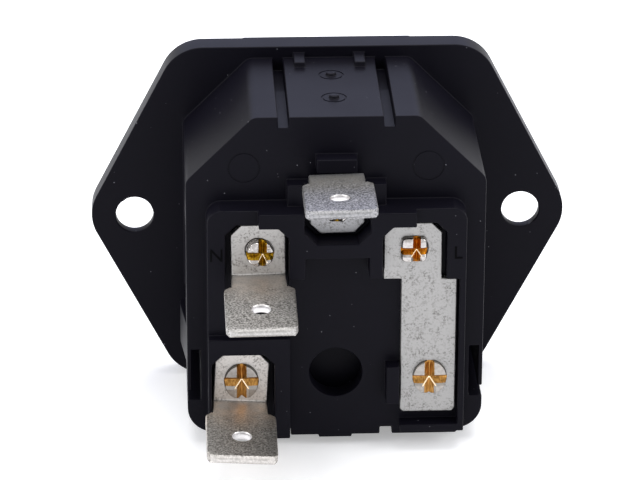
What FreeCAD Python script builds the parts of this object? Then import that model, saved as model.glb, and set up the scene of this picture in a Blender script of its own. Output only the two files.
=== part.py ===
import FreeCAD, Part
import Sketcher
import os
import re

# Fused C14 panel inlet.  Millimetres.
# X runs to the right and Z upwards as seen from the wiring side, +Y points out of the panel's front.
# The origin lies between the two screw holes, on the flange face that seats on the panel.
# Depths are counted from that face towards the wiring side, so a depth of 10 lies at Y = -10.

doc = FreeCAD.newDocument("panel_inlet")
sheet = doc.addObject("Spreadsheet::Sheet", "Sizes")

SIZES = {
    "Flange and screws": {
        "screw_from_body": 4.6,
        "screw_hole": 3.5,
        "screw_land": 1.1,
        "flange_rim": 1.1,
        "flange_thickness": 2.5,
        "flange_corner": 4.0,
        "flange_shoulder": 0.55,
    },
    "Body": {
        "side_wall": 2.0,
        "body_height": 30.8,
        "body_depth": 14.7,
        "body_chamfer": 6.0,
        "body_edge_round": 1.2,
        "body_bottom_round": 2.4,
        "bezel_rise": 2.3,
        "bezel_margin": 0.3,
    },
    "Connector recess and pins": {
        "pin_height": 3.4,
        "pin_pitch": 14.0,
        "earth_rise": 4.0,
        "recess_wall": 1.4,
        "recess_height": 16.5,
        "recess_below_pins": 6.2,
        "recess_chamfer": 4.9,
        "recess_floor": 12.7,
        "blade_wide": 4.0,
        "blade_thick": 2.0,
        "blade_reach": 15.0,
        "earth_blade_reach": 16.0,
        "blade_tip_chamfer": 0.6,
        "pin_shoulder": 1.1,
        "shank": 2.2,
        "press_gap": 0.02,
    },
    "Rear steps": {
        "seat_depth": 15.6,
        "rib_depth": 16.2,
        "frame_depth": 17.1,
        "cross_depth": 18.1,
        "frame_set_in": 1.85,
        "seat_corner": 0.6,
        "frame_top": 7.5,
        "frame_bottom": -14.5,
        "frame_corner": 1.3,
        "cross_width": 14.0,
        "cross_neck_bottom": 3.2,
        "cross_bottom": 1.2,
        "neck_width": 5.7,
        "fuse_island_top": -4.6,
        "fuse_island_right": -4.2,
        "earth_pocket_width": 5.9,
        "earth_pocket_bottom": 4.55,
        "pocket_chamfer": 1.1,
        "rib_wall": 1.45,
        "rib_top": 9.5,
        "stop_width": 3.6,
        "stop_height": 1.3,
        "stop_bottom": 10.6,
        "pocket_gap": 0.5,
        "fused_pocket_gap": 0.25,
        "strip_gap": 0.2,
        "pocket_under_strip": 1.0,
        "rest_width": 1.2,
        "rest_top": -8.0,
        "rest_height": 3.7,
        "sight_hole": 4.8,
    },
    "Grooves in the body walls": {
        "top_slot_centre": 4.7,
        "top_slot_width": 1.0,
        "top_slot_deep": 1.0,
        "top_window": 5.7,
        "top_window_deep": 1.25,
        "top_rib_centre": 2.75,
        "top_rib_width": 1.0,
        "top_rib_length": 2.5,
        "top_rib_rise": 0.5,
        "bottom_slot_centre": 4.6,
        "bottom_slot_width": 1.1,
        "bottom_slot_deep": 0.7,
        "bottom_key_width": 3.0,
        "bottom_key_rise": 0.25,
        "latch_top": -7.1,
        "latch_height": 5.0,
        "latch_wall": 0.4,
        "latch_gap": 0.85,
        "latch_foot_gap": 1.0,
        "latch_side_gap": 0.1,
        "latch_bulge": 0.5,
        "latch_lead_in": 0.4,
        "latch_crest": 1.0,
        "latch_ramp": 6.0,
        "panel_zone": 3.0,
        "ejector_mark": 2.9,
        "ejector_spacing": 16.4,
        "ejector_height": 10.7,
        "mark_deep": 0.06,
        "mark_line": 0.16,
        "top_mark": 2.3,
        "top_mark_first": 4.4,
        "top_mark_pitch": 5.6,
        "top_pip": 0.9,
        "top_pip_rise": 0.25,
    },
    "Terminals": {
        "sheet_thickness": 0.8,
        "plate_width": 4.9,
        "plate_past_rivet": 2.45,
        "plate_chamfer": 0.95,
        "bend_below_rivet": 2.35,
        "bend_inner": 0.15,
        "tab_width": 6.3,
        "tab_reach": 10.4,
        "tab_neck": 2.4,
        "tab_corner": 0.9,
        "tab_shoulder": 0.5,
        "tab_tip_chamfer": 0.25,
        "tab_hole": 1.7,
        "tab_hole_from_tip": 3.8,
        "neutral_droop": 3.1,
        "neutral_turn": -0.7,
        "earth_droop": -5.4,
        "earth_turn": -1.4,
        "line_droop": 2.2,
        "line_turn": 3.2,
        "rivet_hole_gap": 0.05,
    },
    "Line link": {
        "link_upper_lead": 2.8,
        "link_upper_width": 5.2,
        "link_top": 5.85,
        "link_step": 0.4,
        "link_lower_lead": 2.75,
        "link_lower_width": 5.0,
        "link_bottom": -12.8,
        "link_corner": 0.95,
        "link_foot_corner": 0.3,
    },
    "Rivet heads": {
        "pin_head": 2.7,
        "line_head_side": 2.5,
        "head_rise": 0.6,
        "head_rim": 0.24,
        "rivet_head": 3.3,
        "pin_punch_width": 0.7,
        "rivet_punch_width": 0.95,
        "punch_deep": 0.42,
        "punch_overcut": 0.05,
    },
    "Fuse contacts": {
        "fuse_height": -9.1,
        "contact_inset": 1.45,
        "contact_width": 2.8,
        "contact_sheet": 0.35,
        "contact_reach": 6.9,
        "contact_mouth": 0.7,
        "contact_base_height": 6.2,
        "inner_head": 3.2,
        "inner_head_rise": 0.5,
        "fuse_play": 0.12,
    },
    "Fuses": {
        "fuse_length": 20.0,
        "fuse_end_play": 0.3,
        "cap_diameter": 5.2,
        "cap_length": 5.0,
        "cap_wall": 0.15,
        "cap_end": 0.4,
        "cap_edge": 0.3,
        "glass_diameter": 4.8,
        "glass_wall": 0.5,
        "wire_diameter": 0.25,
        "fuse_depth": 9.0,
        "spare_depth": 0.7,
        "spare_play": 0.05,
    },
    "Drawer": {
        "cavity_height": 9.8,
        "cavity_floor": 13.6,
        "drawer_gap": 0.3,
        "drawer_wall": 0.8,
        "drawer_end_gap": 1.0,
        "partition_depth": 4.5,
        "front_lap": 0.55,
        "front_height": 10.9,
        "front_thickness": 1.6,
        "front_set_back": 0.2,
        "front_gap": 0.15,
        "front_corner": 1.0,
        "saddle_width": 5.0,
        "saddle_gap": 0.1,
        "rail_width": 6.4,
        "rail_top": 3.1,
        "arm_height": 4.8,
        "lip_width": 6.4,
        "lip_rise": 1.45,
        "lip_thickness": 1.2,
        "pry_width": 5.0,
        "pry_height": 1.4,
        "pry_deep": 0.9,
        "pry_rise": 1.0,
    },
    "Making": {
        "overcut": 1.0,
        "sunk": 0.3,
    },
}

# Two places closer than this are the same one.
SAME = 1e-3

row = 1
for section, entries in SIZES.items():
    sheet.set("A%d" % row, section)
    row += 1
    for alias, millimetres in entries.items():
        sheet.set("A%d" % row, alias.replace("_", " "))
        sheet.set("B%d" % row, repr(millimetres))
        sheet.setAlias("B%d" % row, alias)
        row += 1
doc.recompute()

ALIASES = [alias for entries in SIZES.values() for alias in entries]
ALIAS_WORD = re.compile(r"\b(%s)\b" % "|".join(sorted(ALIASES, key=len, reverse=True)))


def bound(expression):
    """The expression with each size written the way another object reads it from the sheet."""
    return ALIAS_WORD.sub(r"Sizes.\1", str(expression))


def number(expression):
    """What an expression of the sheet's sizes comes to."""
    return float(sheet.evalExpression(bound(expression)))


# Expressions that more than one piece shares.
HALF_CAVITY = "(fuse_length / 2 + fuse_end_play + drawer_wall + drawer_gap)"
HALF_WIDTH = "(%s + side_wall)" % HALF_CAVITY
HALF_HEIGHT = "body_height / 2"
SCREW_X = "(%s + screw_from_body)" % HALF_WIDTH
FRAME_HALF = "(%s - frame_set_in)" % HALF_WIDTH
BEZEL_FRONT = "-(flange_thickness + bezel_rise)"
EARTH_HEIGHT = "(pin_height + earth_rise)"
RECESS_BOTTOM = "(pin_height - recess_below_pins)"
PLATE_FRONT = "(seat_depth + sheet_thickness)"
CONTACT_X = "(fuse_length / 2 - contact_inset)"
LINK_UPPER_LEFT = "(pin_pitch / 2 - link_upper_lead)"
LINK_LOWER_LEFT = "(%s - link_lower_lead)" % CONTACT_X
DRAWER_TOP = "(fuse_height + cavity_height / 2 - drawer_gap)"
DRAWER_BOTTOM = "(fuse_height - cavity_height / 2 + drawer_gap)"
DRAWER_HALF = "(%s - drawer_gap)" % HALF_CAVITY
FRONT_HALF = "(%s + front_lap)" % HALF_CAVITY
DRAWER_END = "(cavity_floor - drawer_end_gap)"
FRONT_DEPTH = "(%s + front_set_back)" % BEZEL_FRONT
SPARE_HEIGHT = "(%s + drawer_wall + cap_diameter / 2 + spare_play)" % DRAWER_BOTTOM


# --- drawing and features -------------------------------------------------------------------

def sketch_on(body, role, offset="0"):
    """A sketch on one of the body's own origin planes, moved along that plane's normal."""
    plane = [feature for feature in body.Origin.OriginFeatures if feature.Role == role][0]
    sketch = body.newObject("Sketcher::SketchObject", "Sketch")
    sketch.AttachmentSupport = [(plane, "")]
    sketch.MapMode = "FlatFace"
    sketch.setExpression("AttachmentOffset.Base.z", bound(offset))
    return sketch


def bind(sketch, constraint, expression):
    index = sketch.addConstraint(constraint)
    sketch.setExpression("Constraints[%d]" % index, bound(expression))


def outline(sketch, corners):
    """A closed outline of straight sides through corners given as pairs of expressions."""
    first = sketch.GeometryCount
    count = len(corners)
    points = [FreeCAD.Vector(number(x), number(y), 0) for x, y in corners]
    for index in range(count):
        sketch.addGeometry(Part.LineSegment(points[index], points[(index + 1) % count]))
    for index in range(count):
        following = first + (index + 1) % count
        sketch.addConstraint(Sketcher.Constraint("Coincident", first + index, 2, following, 1))
    for index, (x, y) in enumerate(corners):
        side = first + index
        bind(sketch, Sketcher.Constraint("DistanceX", -1, 1, side, 1, points[index].x), x)
        bind(sketch, Sketcher.Constraint("DistanceY", -1, 1, side, 1, points[index].y), y)


def rectangle(sketch, left, bottom, right, top):
    outline(sketch, [(left, bottom), (right, bottom), (right, top), (left, top)])


def circle(sketch, x, y, diameter):
    centre = FreeCAD.Vector(number(x), number(y), 0)
    index = sketch.GeometryCount
    sketch.addGeometry(Part.Circle(centre, FreeCAD.Vector(0, 0, 1), number(diameter) / 2))
    bind(sketch, Sketcher.Constraint("DistanceX", -1, 1, index, 3, centre.x), x)
    bind(sketch, Sketcher.Constraint("DistanceY", -1, 1, index, 3, centre.y), y)
    bind(sketch, Sketcher.Constraint("Diameter", index, number(diameter)), diameter)


def extrude(body, kind, label, role, start, end, draw, *shape):
    """Pad or Pocket from the start to the end along the plane's normal (XZ: depth, YZ: X, XY: Z)."""
    sketch = sketch_on(body, role, start)
    draw(sketch, *shape)
    feature = body.newObject("PartDesign::" + kind, kind)
    feature.Label = label
    feature.Profile = sketch
    feature.Reversed = kind == "Pocket"
    feature.setExpression("Length", bound("(%s) - (%s)" % (end, start)))
    doc.recompute()
    return feature


def pad(body, label, start, end, draw, *shape):
    return extrude(body, "Pad", label, "XZ_Plane", start, end, draw, *shape)


def pocket(body, label, start, end, draw, *shape):
    return extrude(body, "Pocket", label, "XZ_Plane", start, end, draw, *shape)


def dress(body, kind, label, size, chosen):
    """Fillet or Chamfer on the edges of the body's last feature that the test chooses."""
    last = body.Tip
    names = ["Edge%d" % (i + 1) for i, edge in enumerate(last.Shape.Edges) if chosen(edge)]
    feature = body.newObject("PartDesign::" + kind, kind)
    feature.Label = label
    feature.Base = (last, names)
    feature.setExpression("Radius" if kind == "Fillet" else "Size", bound(size))
    doc.recompute()
    return feature


def along_depth(corners, nearest=None):
    """Chooses straight edges parallel to Y that stand on one of the given X, Z corners."""
    places = [(number(x), number(z)) for x, z in corners]

    def chosen(edge):
        box = edge.BoundBox
        straight = box.XLength < SAME and box.ZLength < SAME
        if nearest is not None and abs(box.YMax - number(nearest)) > SAME:
            return False
        return straight and any(abs(box.XMin - x) + abs(box.ZMin - z) < SAME for x, z in places)
    return chosen


def new_body(label):
    body = doc.addObject("PartDesign::Body", label)
    body.Label = label
    return body


# --- housing --------------------------------------------------------------------------------

def chamfered_block(sketch, half_width, bottom, top, chamfer):
    """Rectangle with its two top corners cut off at 45 degrees."""
    outline(sketch, [
        ("-(%s)" % half_width, bottom),
        (half_width, bottom),
        (half_width, "%s - (%s)" % (top, chamfer)),
        ("%s - (%s)" % (half_width, chamfer), top),
        ("-(%s) + (%s)" % (half_width, chamfer), top),
        ("-(%s)" % half_width, "%s - (%s)" % (top, chamfer)),
    ])


def plate_pocket(sketch, left, bottom, right, top, chamfer, upward):
    """Rectangle whose two far corners are chamfered like the plate's that lies in it."""
    if upward:
        outline(sketch, [
            (left, bottom), (right, bottom), (right, "%s - (%s)" % (top, chamfer)),
            ("%s - (%s)" % (right, chamfer), top), ("%s + (%s)" % (left, chamfer), top),
            (left, "%s - (%s)" % (top, chamfer))])
    else:
        outline(sketch, [
            ("%s + (%s)" % (left, chamfer), bottom), ("%s - (%s)" % (right, chamfer), bottom),
            (right, "%s + (%s)" % (bottom, chamfer)), (right, top), (left, top),
            (left, "%s + (%s)" % (bottom, chamfer))])


def build_flange(housing):
    # Each sloping edge runs from the shoulder to the circle of the corner radius round the screw.
    half = "(%s + flange_rim)" % HALF_HEIGHT
    shoulder = "(%s + flange_shoulder)" % HALF_WIDTH
    run = "(%s - %s)" % (SCREW_X, shoulder)
    slope = "(atan(%s / %s) - asin(flange_corner / sqrt(%s * %s + %s * %s)))" % (
        half, run, half, half, run, run)
    tip = "(%s + flange_corner / sin(%s))" % (SCREW_X, slope)
    corners = [
        ("-" + tip, "0"), ("-" + shoulder, "-" + half), (shoulder, "-" + half),
        (tip, "0"), (shoulder, half), ("-" + shoulder, half)]
    pad(housing, "flange", "-flange_thickness", "0", outline, corners)
    dress(housing, "Fillet", "flange corners", "flange_corner", along_depth(corners))


def build_body(housing):
    bottom = "-(%s)" % HALF_HEIGHT
    pad(housing, "body", "0", "body_depth", chamfered_block, HALF_WIDTH, bottom, HALF_HEIGHT, "body_chamfer")
    edges = [
        (HALF_WIDTH, "%s - body_chamfer" % HALF_HEIGHT),
        ("%s - body_chamfer" % HALF_WIDTH, HALF_HEIGHT),
        ("-(%s - body_chamfer)" % HALF_WIDTH, HALF_HEIGHT),
        ("-" + HALF_WIDTH, "%s - body_chamfer" % HALF_HEIGHT)]
    dress(housing, "Fillet", "body top edges", "body_edge_round", along_depth(edges, "0"))
    lower = [("-" + HALF_WIDTH, bottom), (HALF_WIDTH, bottom)]
    dress(housing, "Fillet", "body bottom edges", "body_bottom_round", along_depth(lower, "0"))


def build_bezel(housing):
    half_width = "%s + bezel_margin" % HALF_WIDTH
    top = "%s + bezel_margin" % HALF_HEIGHT
    pad(housing, "bezel", BEZEL_FRONT, "-flange_thickness",
        chamfered_block, half_width, "-(%s)" % top, top, "body_chamfer")
    front = "-(%s)" % BEZEL_FRONT
    lower = [("-(%s)" % half_width, "-(%s)" % top), (half_width, "-(%s)" % top)]
    dress(housing, "Fillet", "bezel bottom edges", "body_bottom_round", along_depth(lower, front))


def build_screw_holes(housing):
    def both_holes(sketch):
        for side in ("-", ""):
            circle(sketch, side + SCREW_X, "0", "screw_hole")
    pocket(housing, "screw holes", "-flange_thickness", "0", both_holes)

    def mouth(edge):
        if edge.Curve.TypeId != "Part::GeomCircle":
            return False
        size = abs(edge.Curve.Radius - number("screw_hole / 2")) < SAME
        return size and abs(edge.BoundBox.YMin - number("flange_thickness")) < SAME
    dress(housing, "Chamfer", "countersinks", "flange_thickness - screw_land", mouth)


def build_rear_steps(housing):
    left, right = "-" + FRAME_HALF, FRAME_HALF
    floor = "-(%s)" % HALF_HEIGHT
    pad(housing, "seat step", "body_depth", "seat_depth", outline, [
        (left + " + seat_corner", floor), (right + " - seat_corner", floor),
        (right, floor + " + seat_corner"), (right, "frame_top"),
        (left, "frame_top"), (left, floor + " + seat_corner")])
    pad(housing, "frame", "seat_depth", "frame_depth", rectangle, left, "frame_bottom", right, "frame_top")
    dress(housing, "Fillet", "frame corners", "frame_corner",
          along_depth([(left, "frame_top"), (right, "frame_top")], "-body_depth"))

    def cross(sketch):
        outline(sketch, [
            ("-cross_width / 2", "cross_bottom"), ("-neck_width / 2", "cross_bottom"),
            ("-neck_width / 2", "cross_neck_bottom"), ("neck_width / 2", "cross_neck_bottom"),
            ("neck_width / 2", "cross_bottom"), ("cross_width / 2", "cross_bottom"),
            ("cross_width / 2", "frame_top"), ("-cross_width / 2", "frame_top")])
    pad(housing, "cross piece", "frame_depth", "cross_depth", cross)
    pad(housing, "fuse terminal island", "frame_depth", "cross_depth",
        rectangle, left, "frame_bottom", "fuse_island_right", "fuse_island_top")

    rib_outer = "earth_pocket_width / 2 + rib_wall"
    pad(housing, "earth ribs", "body_depth", "rib_depth",
        rectangle, "-(%s)" % rib_outer, "frame_top", rib_outer, "rib_top")
    pad(housing, "earth tab stop", "body_depth", "rib_depth",
        rectangle, "-stop_width / 2", "stop_bottom", "stop_width / 2", "stop_bottom + stop_height")


def build_rear_pockets(housing):
    plate_top = "pin_height + plate_past_rivet + pocket_gap / 2"
    neutral_x = "-pin_pitch / 2"
    plate_half = "plate_width / 2 + pocket_gap"
    island = "fuse_island_right"

    def neutral_pocket(sketch):
        plate_pocket(sketch, "%s - (%s)" % (neutral_x, plate_half), "fuse_island_top",
                     "%s + plate_width / 2 + pocket_gap / 2" % neutral_x, plate_top, "plate_chamfer", True)
    pocket(housing, "neutral pocket", "seat_depth", "cross_depth", neutral_pocket)

    def centre_recess(sketch):
        outline(sketch, [
            (island, "frame_bottom"), (LINK_LOWER_LEFT, "frame_bottom"),
            (LINK_LOWER_LEFT, "cross_bottom"), ("neck_width / 2", "cross_bottom"),
            ("neck_width / 2", "cross_neck_bottom"), ("-neck_width / 2", "cross_neck_bottom"),
            ("-neck_width / 2", "cross_bottom"), (island, "cross_bottom")])
    pocket(housing, "centre recess", "seat_depth", "cross_depth", centre_recess)

    def link_pocket(sketch):
        left = LINK_UPPER_LEFT + " - strip_gap"
        right = LINK_UPPER_LEFT + " + link_upper_width + 2 * strip_gap"
        low_left = LINK_LOWER_LEFT + " - strip_gap"
        low_right = LINK_LOWER_LEFT + " + link_lower_width + strip_gap"
        top = "link_top + pocket_gap / 2"
        foot = "link_bottom - pocket_under_strip"
        step = "link_step + strip_gap"
        outline(sketch, [
            (low_left, foot), (low_right, foot), (low_right, step), (right, step),
            (right, "%s - link_corner" % top), ("%s - link_corner" % right, top),
            ("%s + link_corner" % left, top), (left, "%s - link_corner" % top),
            (left, "link_step - strip_gap"), (low_left, "link_step - strip_gap")])
    pocket(housing, "link pocket", "seat_depth", "cross_depth", link_pocket)

    def earth_pocket(sketch):
        half = "earth_pocket_width / 2"
        plate_pocket(sketch, "-" + half, "earth_pocket_bottom", half, "rib_top + overcut",
                     "pocket_chamfer", False)
    pocket(housing, "earth pocket", "seat_depth", "cross_depth", earth_pocket)

    def fused_pocket(sketch):
        centre = "-" + CONTACT_X
        top = "fuse_height + plate_past_rivet + pocket_gap"
        plate_pocket(sketch, "%s - plate_width / 2 - fused_pocket_gap" % centre, "frame_bottom - overcut",
                     "%s + %s" % (centre, plate_half), top, "plate_chamfer", True)
    pocket(housing, "fused line pocket", "seat_depth", "cross_depth", fused_pocket)

    pad(housing, "strip rest", "seat_depth", "frame_depth", rectangle,
        LINK_LOWER_LEFT + " - strip_gap / 2 - rest_width", "rest_top - rest_height",
        LINK_LOWER_LEFT + " - strip_gap / 2", "rest_top")


def build_recess(housing):
    top = "%s + recess_height" % RECESS_BOTTOM
    pocket(housing, "connector recess", BEZEL_FRONT, "recess_floor",
           chamfered_block, "%s - recess_wall" % HALF_WIDTH, RECESS_BOTTOM, top, "recess_chamfer")
    pocket(housing, "drawer cavity", BEZEL_FRONT, "cavity_floor", rectangle,
           "-" + HALF_CAVITY, "fuse_height - cavity_height / 2",
           HALF_CAVITY, "fuse_height + cavity_height / 2")
    half = FRONT_HALF + " + front_gap"
    depth = "%s + front_thickness + front_gap" % FRONT_DEPTH
    pocket(housing, "drawer front recess", BEZEL_FRONT, depth, rectangle,
           "-(%s)" % half, "fuse_height - front_height / 2 - front_gap",
           half, "fuse_height + front_height / 2 + front_gap")
    half = "lip_width / 2 + drawer_gap"
    pocket(housing, "drawer lip notch", BEZEL_FRONT, "%s + front_gap" % depth, rectangle,
           "-(%s)" % half, "fuse_height", half, RECESS_BOTTOM + " + overcut")


def build_pin_seats(housing):
    def seats(sketch, draw, *shape):
        for x, z in (("-pin_pitch / 2", "pin_height"), ("pin_pitch / 2", "pin_height"), ("0", EARTH_HEIGHT)):
            draw(sketch, x, z, *shape)

    def blade_hole(sketch, x, z):
        half_x = "(blade_thick / 2 + press_gap)"
        half_z = "(blade_wide / 2 + press_gap)"
        rectangle(sketch, "%s - %s" % (x, half_x), "%s - %s" % (z, half_z),
                  "%s + %s" % (x, half_x), "%s + %s" % (z, half_z))
    pocket(housing, "blade seats", "recess_floor", "recess_floor + pin_shoulder", seats, blade_hole)
    pocket(housing, "pin bores", "recess_floor", "seat_depth", seats, circle, "shank + 2 * press_gap")

    def contact_bores(sketch):
        for side in ("-", ""):
            circle(sketch, side + CONTACT_X, "fuse_height", "shank + 2 * press_gap")
        circle(sketch, "0", "fuse_height", "sight_hole")
    pocket(housing, "contact bores and sight hole", "cavity_floor", "seat_depth", contact_bores)


def build_top(housing):
    def slots(sketch, bottom):
        for side in (-1, 1):
            left = "%d * top_slot_centre - top_slot_width / 2" % side
            rectangle(sketch, left, bottom, left + " + top_slot_width", HALF_HEIGHT + " + overcut")
    pocket(housing, "top slots", "0", "body_depth", slots, "%s - top_slot_deep" % HALF_HEIGHT)
    pocket(housing, "top windows", "0", "top_window", slots, "%s - top_window_deep" % HALF_HEIGHT)

    def ribs(sketch):
        for side in (-1, 1):
            left = "%d * top_rib_centre - top_rib_width / 2" % side
            rectangle(sketch, left, HALF_HEIGHT + " - sunk",
                      left + " + top_rib_width", HALF_HEIGHT + " + top_rib_rise")
    pad(housing, "top ribs", "0", "top_rib_length", ribs)

    def marks(sketch, *diameters):
        for index in (0, 1):
            for diameter in diameters:
                circle(sketch, "0", "-(top_mark_first + %d * top_mark_pitch)" % index, diameter)
    extrude(housing, "Pocket", "top ejector marks", "XY_Plane", "%s - mark_deep" % HALF_HEIGHT,
            HALF_HEIGHT, marks, "top_mark", "top_mark - 2 * mark_line")
    extrude(housing, "Pad", "top pips", "XY_Plane", "%s - sunk" % HALF_HEIGHT,
            "%s + top_pip_rise" % HALF_HEIGHT, marks, "top_pip")


def build_bottom(housing):
    floor = "-(%s)" % HALF_HEIGHT

    def slots(sketch):
        for side in (-1, 1):
            left = "%d * bottom_slot_centre - bottom_slot_width / 2" % side
            rectangle(sketch, left, floor + " - overcut",
                      left + " + bottom_slot_width", floor + " + bottom_slot_deep")
    pocket(housing, "bottom slots", "0", "seat_depth", slots)
    pad(housing, "bottom key", "0", "seat_depth", rectangle,
        "-bottom_key_width / 2", floor + " - bottom_key_rise", "bottom_key_width / 2", floor + " + sunk")


def build_latches(housing):
    """Each side wall carries a springy flap that snaps behind the panel, with a slot behind it."""
    bottom = "latch_top - latch_height"
    inner = "(%s - latch_wall - latch_gap)" % HALF_WIDTH
    wall = "(%s - latch_wall)" % HALF_WIDTH
    outside = "(%s + overcut)" % HALF_WIDTH
    foot = "%s + latch_foot_gap" % bottom

    def bulges(sketch):
        for side in (-1, 1):
            buried = "%d * (%s - latch_wall / 2)" % (side, HALF_WIDTH)
            face = "%d * %s" % (side, HALF_WIDTH)
            crest = "%d * (%s + latch_bulge)" % (side, HALF_WIDTH)
            outline(sketch, [
                (buried, "-panel_zone"), (crest, "-panel_zone - latch_lead_in"),
                (crest, "-panel_zone - latch_lead_in - latch_crest"),
                (face, "-panel_zone - latch_ramp"), (buried, "-panel_zone - latch_ramp")])
    extrude(housing, "Pad", "latch bulges", "XY_Plane", foot, "latch_top - latch_side_gap", bulges)

    def both_sides(sketch, start, end, top):
        """A rectangle at each side of the body, from one distance from the middle to another."""
        for side in (-1, 1):
            near, far = sorted(("%d * %s" % (side, start), "%d * %s" % (side, end)), key=number)
            rectangle(sketch, near, bottom, far, top)
    pocket(housing, "latch slots", "0", "body_depth", both_sides, inner, wall, "latch_top")
    pocket(housing, "latch foot gaps", "0", "body_depth", both_sides, inner, outside, foot)
    pocket(housing, "panel windows", "0", "panel_zone", both_sides, inner, outside, "latch_top")


def build_marks(housing):
    def rings(sketch):
        for side in ("-", ""):
            for size in ("ejector_mark", "ejector_mark - 2 * mark_line"):
                circle(sketch, side + "ejector_spacing / 2", "ejector_height", size)
    pocket(housing, "rear ejector marks", "body_depth - mark_deep", "body_depth", rings)


housing = new_body("inlet_housing")
build_flange(housing)
build_body(housing)
build_bezel(housing)
build_screw_holes(housing)
build_rear_steps(housing)
build_rear_pockets(housing)
build_recess(housing)
build_pin_seats(housing)
build_top(housing)
build_bottom(housing)
build_latches(housing)
build_marks(housing)


# --- pins and rivets ------------------------------------------------------------------------

def punch_cross(body, x, z, top, width, across):
    """Two crossing V grooves, struck into a head whose face lies at the depth given by top."""
    apex = "%s - punch_deep" % top

    def groove(sketch, centre, first_axis_is_depth):
        corners = [
            ("-(%s)" % apex, centre),
            ("-(%s + punch_overcut)" % top, "%s - %s / 2" % (centre, width)),
            ("-(%s + punch_overcut)" % top, "%s + %s / 2" % (centre, width))]
        outline(sketch, corners if first_axis_is_depth else [(b, a) for a, b in corners])
    extrude(body, "Pocket", "punch mark across", "YZ_Plane",
            "%s - (%s)" % (x, across), "%s + (%s)" % (x, across), groove, z, True)
    extrude(body, "Pocket", "punch mark upright", "XY_Plane",
            "%s - (%s)" % (z, across), "%s + (%s)" % (z, across), groove, x, False)


def build_pin(label, x, z, reach, square_head=False):
    """Flat blade in the recess, round shank through the wall, and an end riveted over the plate."""
    body = new_body(label)
    tip = "recess_floor - %s" % reach
    pad(body, "blade", tip, "recess_floor + pin_shoulder", rectangle,
        "%s - blade_thick / 2" % x, "%s - blade_wide / 2" % z,
        "%s + blade_thick / 2" % x, "%s + blade_wide / 2" % z)
    tip_y = -number(tip)

    def on_tip(edge):
        return abs(edge.BoundBox.YMin - tip_y) < SAME
    dress(body, "Chamfer", "blade tip", "blade_tip_chamfer", on_tip)
    pad(body, "shank", "recess_floor + pin_shoulder", PLATE_FRONT, circle, x, z, "shank")
    top = "%s + head_rise" % PLATE_FRONT
    if square_head:
        half = "line_head_side / 2"
        pad(body, "riveted end", PLATE_FRONT, top, rectangle,
            "%s - %s" % (x, half), "%s - %s" % (z, half), "%s + %s" % (x, half), "%s + %s" % (z, half))
    else:
        pad(body, "riveted end", PLATE_FRONT, top, circle, x, z, "pin_head")
    round_head(body, top)
    punch_cross(body, x, z, top, "pin_punch_width", "pin_head")
    return body


def round_head(body, top):
    """Breaks the rim of a riveted head."""
    face_y = -number(top)

    def rim(edge):
        return edge.BoundBox.YLength < SAME and abs(edge.BoundBox.YMin - face_y) < SAME
    dress(body, "Fillet", "head rim", "head_rim", rim)


def build_contact_rivet(label, x):
    body = new_body(label)
    contact_face = "cavity_floor - contact_sheet"
    pad(body, "inner head", "%s - inner_head_rise" % contact_face, contact_face,
        circle, x, "fuse_height", "inner_head")
    pad(body, "shank", contact_face, PLATE_FRONT, circle, x, "fuse_height", "shank")
    top = "%s + head_rise" % PLATE_FRONT
    pad(body, "outer head", PLATE_FRONT, top, circle, x, "fuse_height", "rivet_head")
    round_head(body, top)
    punch_cross(body, x, "fuse_height", top, "rivet_punch_width", "rivet_head")
    return body


build_pin("neutral_pin", "-pin_pitch / 2", "pin_height", "blade_reach")
build_pin("line_pin", "pin_pitch / 2", "pin_height", "blade_reach", square_head=True)
build_pin("earth_pin", "0", EARTH_HEIGHT, "earth_blade_reach")
build_contact_rivet("left_contact_rivet", "-" + CONTACT_X)
build_contact_rivet("right_contact_rivet", CONTACT_X)


# --- terminals and link ---------------------------------------------------------------------

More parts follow.
